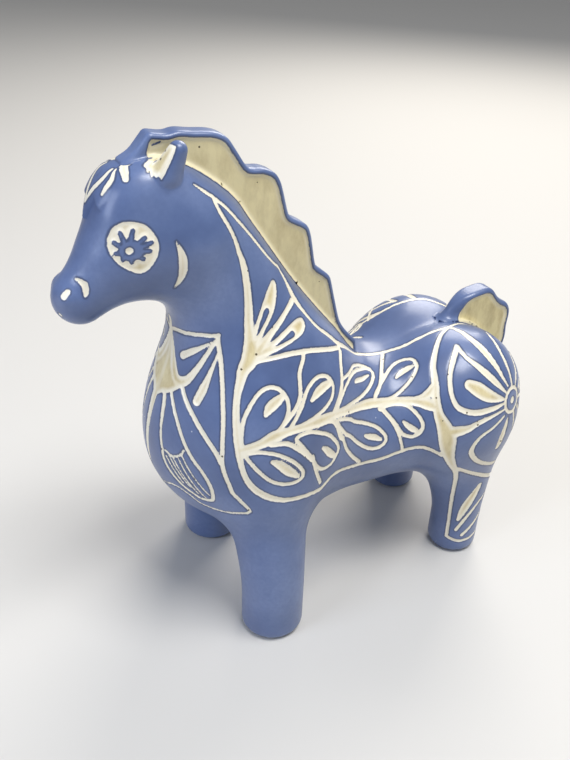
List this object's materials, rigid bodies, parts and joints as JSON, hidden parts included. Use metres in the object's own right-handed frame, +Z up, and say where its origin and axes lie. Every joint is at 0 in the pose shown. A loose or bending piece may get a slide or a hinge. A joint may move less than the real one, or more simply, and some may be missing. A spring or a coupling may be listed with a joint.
{
  "type": "ceramic horse figurine",
  "caption": "Free-standing hollow glazed ceramic horse with stub legs, scalloped mane crest and carved floral decoration.",
  "frame": {"origin": "centre of the bounding box in plan, on the plane that the four feet stand on", "axes": "+Z up, head towards -X and tail towards +X, the animal's left flank towards -Y"},
  "size_m": [0.1747, 0.0796, 0.1756],
  "materials": {
    "blue_glaze": "satin cornflower-blue glaze over cream clay, with the decoration carved through to the clay",
    "cream_clay": "cream clay under a thin clear glaze, with warm brown staining and small pinholes"
  },
  "bodies": {
    "root": {"body_shell": "blue_glaze", "neck_shell": "blue_glaze", "head_shell": "blue_glaze", "leg_front_left": "blue_glaze", "leg_front_right": "blue_glaze", "leg_hind_left": "blue_glaze", "leg_hind_right": "blue_glaze", "ear_left": "blue_glaze", "ear_right": "blue_glaze", "forelock": "blue_glaze", "mane_crest": "cream_clay", "tail": "cream_clay"}
  },
  "joints": []
}
